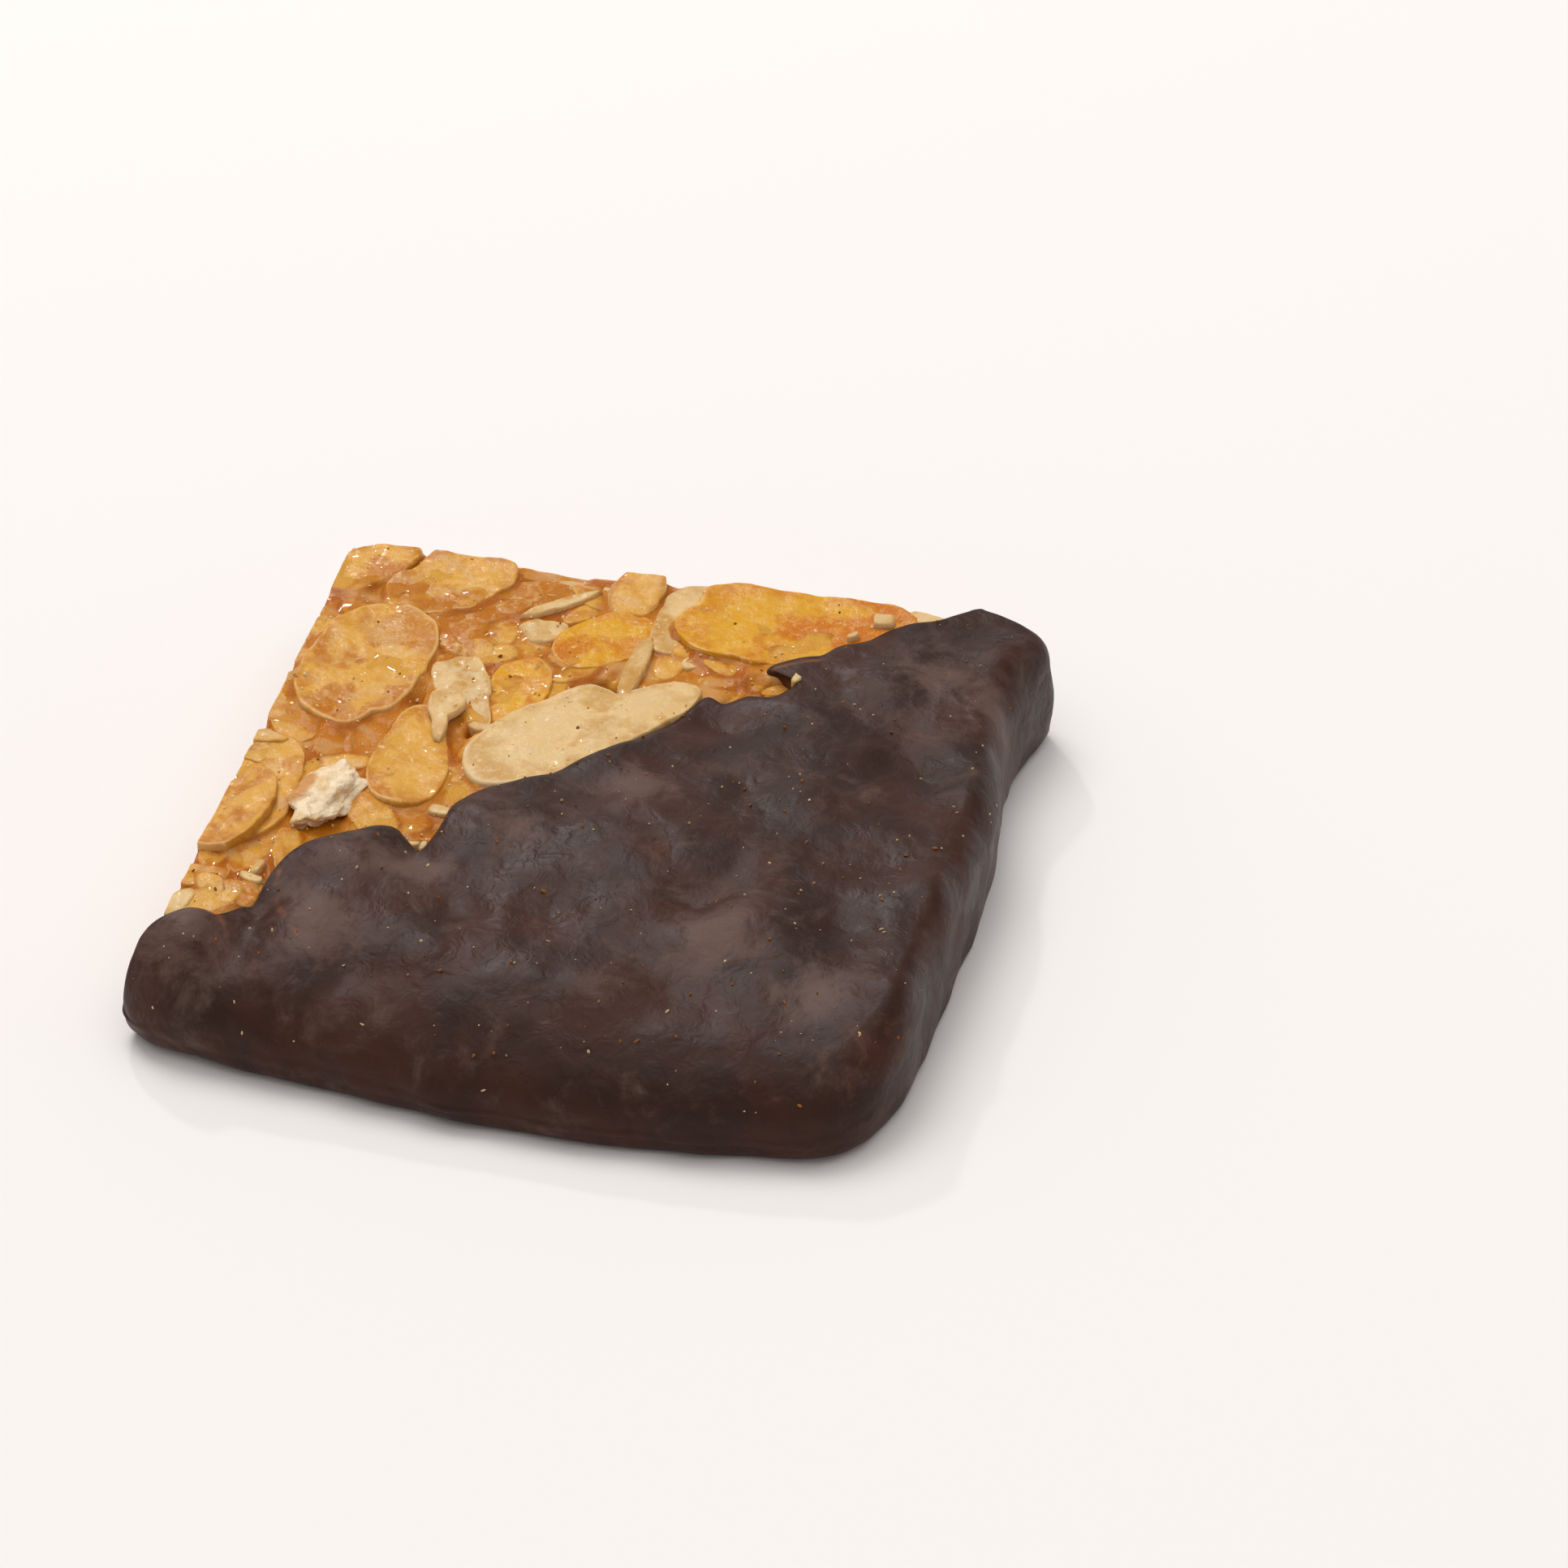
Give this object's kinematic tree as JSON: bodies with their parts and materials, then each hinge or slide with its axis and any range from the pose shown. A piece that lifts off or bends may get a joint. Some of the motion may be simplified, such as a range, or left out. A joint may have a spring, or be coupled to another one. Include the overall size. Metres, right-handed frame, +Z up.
{
  "type": "florentine cookie",
  "caption": "Square almond florentine of flaked almonds set in amber caramel, knife-cut sides, one diagonal half coated in dark chocolate.",
  "frame": {"origin": "on the flat underside of the chocolate coat, below the middle of the caramel square", "axes": "+X to the right along the chocolate-coated front edge, +Y to the back, +Z up out of the almond side"},
  "size_m": [0.0533, 0.0552, 0.0097],
  "materials": {
    "caramel": "glossy amber almond caramel",
    "chocolate": "satin dark chocolate with a faint bloom",
    "almond": "sliced almond glazed with caramel",
    "almond_pale": "dry sliced almond",
    "almond_golden": "toasted sliced almond under amber glaze"
  },
  "bodies": {
    "root": {"caramel_slab": "caramel", "chocolate_coat": "chocolate", "flake_corner": "almond", "flake_back_left": "almond", "flake_round": "almond", "flake_tan_edge": "almond", "flake_left_edge": "almond", "flake_teardrop": "almond", "flake_under_crumb": "almond_golden", "flake_pale_small": "almond_pale", "flake_golden_middle": "almond_golden", "flake_long_pale": "almond_pale", "flake_oval": "almond", "flake_pale_back": "almond_pale", "flake_back_small": "almond_golden", "flake_big_golden": "almond_golden", "nut_crumb": "almond_pale"}
  },
  "joints": []
}
